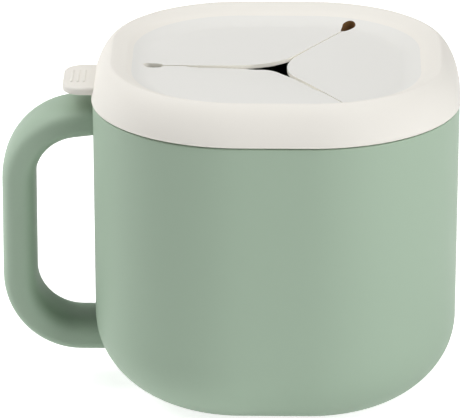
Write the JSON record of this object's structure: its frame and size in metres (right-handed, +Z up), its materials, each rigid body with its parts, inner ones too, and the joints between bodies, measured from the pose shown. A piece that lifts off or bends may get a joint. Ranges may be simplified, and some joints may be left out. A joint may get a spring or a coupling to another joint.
{
  "type": "toddler snack cup",
  "caption": "Rounded-square toddler snack cup with a D-shaped side handle and a soft ivory lid whose sunken membrane is slit into three flaps around a small star-shaped hole.",
  "frame": {"origin": "centre of the cup's base, on the plane of the foot rim that it stands on", "axes": "+Z up out of the mouth; the handle and the pull tab point along -X; +Y is away from the viewer of the picture"},
  "size_m": [0.1058, 0.0848, 0.0816],
  "materials": {
    "cup_green": "matt sage green moulding with a soft sheen",
    "ring_ivory": "soft-touch warm ivory silicone",
    "membrane_white": "thin silicone, slightly cooler and translucent"
  },
  "bodies": {
    "cup": {"cup": "cup_green"},
    "lid": {"lid_ring": "ring_ivory", "lid_membrane": "membrane_white"},
    "flap_back": {"flap_back": "membrane_white"},
    "flap_front": {"flap_front": "membrane_white"},
    "flap_side": {"flap_side": "membrane_white"}
  },
  "joints": [
    {"name": "lid_lift", "type": "slide", "parent": "cup", "child": "lid", "axis": [0, 0, 1], "range_m": [0, 0.035]},
    {"name": "flap_back_bend", "type": "hinge", "parent": "lid", "child": "flap_back", "pos_m": [-0.00636, 0.01332, 0.0766], "axis": [0.8527, 0.5224, 0], "range_deg": [-35, 60], "stiffness_Nm_per_rad": 0.015},
    {"name": "flap_front_bend", "type": "hinge", "parent": "lid", "child": "flap_front", "pos_m": [-0.00636, -0.01332, 0.0766], "axis": [-0.8527, 0.5224, 0], "range_deg": [-35, 60], "stiffness_Nm_per_rad": 0.015},
    {"name": "flap_side_bend", "type": "hinge", "parent": "lid", "child": "flap_side", "pos_m": [0.01538, 0, 0.0766], "axis": [0, -1, 0], "range_deg": [-35, 60], "stiffness_Nm_per_rad": 0.015}
  ]
}
